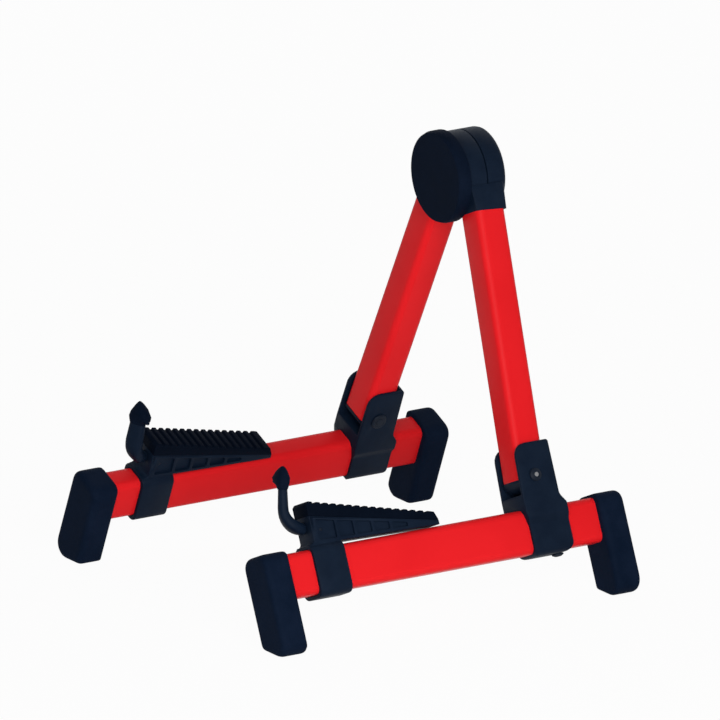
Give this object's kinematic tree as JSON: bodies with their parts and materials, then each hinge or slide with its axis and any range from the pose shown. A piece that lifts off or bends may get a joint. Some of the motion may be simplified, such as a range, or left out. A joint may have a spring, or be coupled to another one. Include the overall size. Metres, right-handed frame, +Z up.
{
  "type": "folding guitar stand",
  "caption": "Folding A-frame instrument stand: two leaning foot bars with ribbed wedge cradles and upturned lips, two square uprights that meet at a round padded hub.",
  "frame": {"origin": "centre of the bounding box on the floor", "axes": "+Z up, -Y the front where the lips stand and the guitar faces, +X the stand's right side seen from the front"},
  "size_m": [0.2902, 0.2822, 0.2971],
  "materials": {
    "red_tube": "bright red coated extrusion",
    "black_plastic": "moulded black nylon",
    "black_rubber": "moulded black rubber",
    "bright_steel": "zinc plated steel",
    "white_nylon": "plain nylon washer"
  },
  "bodies": {
    "left_base": {"left_foot_bar": "red_tube", "left_front_foot": "black_rubber", "left_rear_foot": "black_rubber", "left_pivot_bracket": "black_plastic", "left_bracket_screw": "bright_steel", "left_pivot_pin": "bright_steel", "left_pin_retainer": "bright_steel", "left_outer_pivot_washer": "white_nylon", "left_inner_pivot_washer": "white_nylon"},
    "left_upright": {"left_upright_tube": "red_tube", "left_upright_plug": "black_plastic", "hub_rear_half": "black_plastic", "hub_washer": "white_nylon", "hub_flat_washer": "bright_steel", "hub_nut": "bright_steel", "hub_cap": "black_plastic"},
    "left_cradle": {"left_cradle_slider": "black_plastic", "left_cradle_pad": "black_rubber", "left_lip_pin": "bright_steel"},
    "left_lip": {"left_lip_arm": "black_plastic", "left_lip_cap": "black_rubber"},
    "right_base": {"right_foot_bar": "red_tube", "right_front_foot": "black_rubber", "right_rear_foot": "black_rubber", "right_pivot_bracket": "black_plastic", "right_bracket_screw": "bright_steel", "right_pivot_pin": "bright_steel", "right_pin_retainer": "bright_steel", "right_outer_pivot_washer": "white_nylon", "right_inner_pivot_washer": "white_nylon"},
    "right_upright": {"right_upright_tube": "red_tube", "right_upright_plug": "black_plastic", "hub_front_half": "black_plastic", "hub_pad": "black_rubber", "hub_bolt": "bright_steel"},
    "right_cradle": {"right_cradle_slider": "black_plastic", "right_cradle_pad": "black_rubber", "right_lip_pin": "bright_steel"},
    "right_lip": {"right_lip_arm": "black_plastic", "right_lip_cap": "black_rubber"}
  },
  "joints": [
    {"name": "left_fold", "type": "hinge", "parent": "left_base", "child": "left_upright", "pos_m": [-0.09865, 0.07745, 0.07961], "axis": [0.9164, 0, -0.4003], "range_deg": [0, 72]},
    {"name": "hub_hinge", "type": "hinge", "parent": "left_upright", "child": "right_upright", "pos_m": [0, 0.09317, 0.2658], "axis": [0, 1, 0], "range_deg": [0, 43.8]},
    {"name": "right_fold", "type": "hinge", "parent": "right_upright", "child": "right_base", "pos_m": [0.09865, 0.07745, 0.07961], "axis": [-0.9164, 0, -0.4003], "range_deg": [0, 72]},
    {"name": "left_cradle_slide", "type": "slide", "parent": "left_base", "child": "left_cradle", "axis": [0, 1, 0], "range_m": [-0.018, 0.052]},
    {"name": "left_lip_swing", "type": "hinge", "parent": "left_cradle", "child": "left_lip", "pos_m": [-0.10117, -0.0973, 0.07384], "axis": [0, -1, 0], "range_deg": [0, 90]},
    {"name": "right_cradle_slide", "type": "slide", "parent": "right_base", "child": "right_cradle", "axis": [0, 1, 0], "range_m": [-0.018, 0.052]},
    {"name": "right_lip_swing", "type": "hinge", "parent": "right_cradle", "child": "right_lip", "pos_m": [0.10117, -0.0973, 0.07384], "axis": [0, 1, 0], "range_deg": [0, 90]}
  ]
}
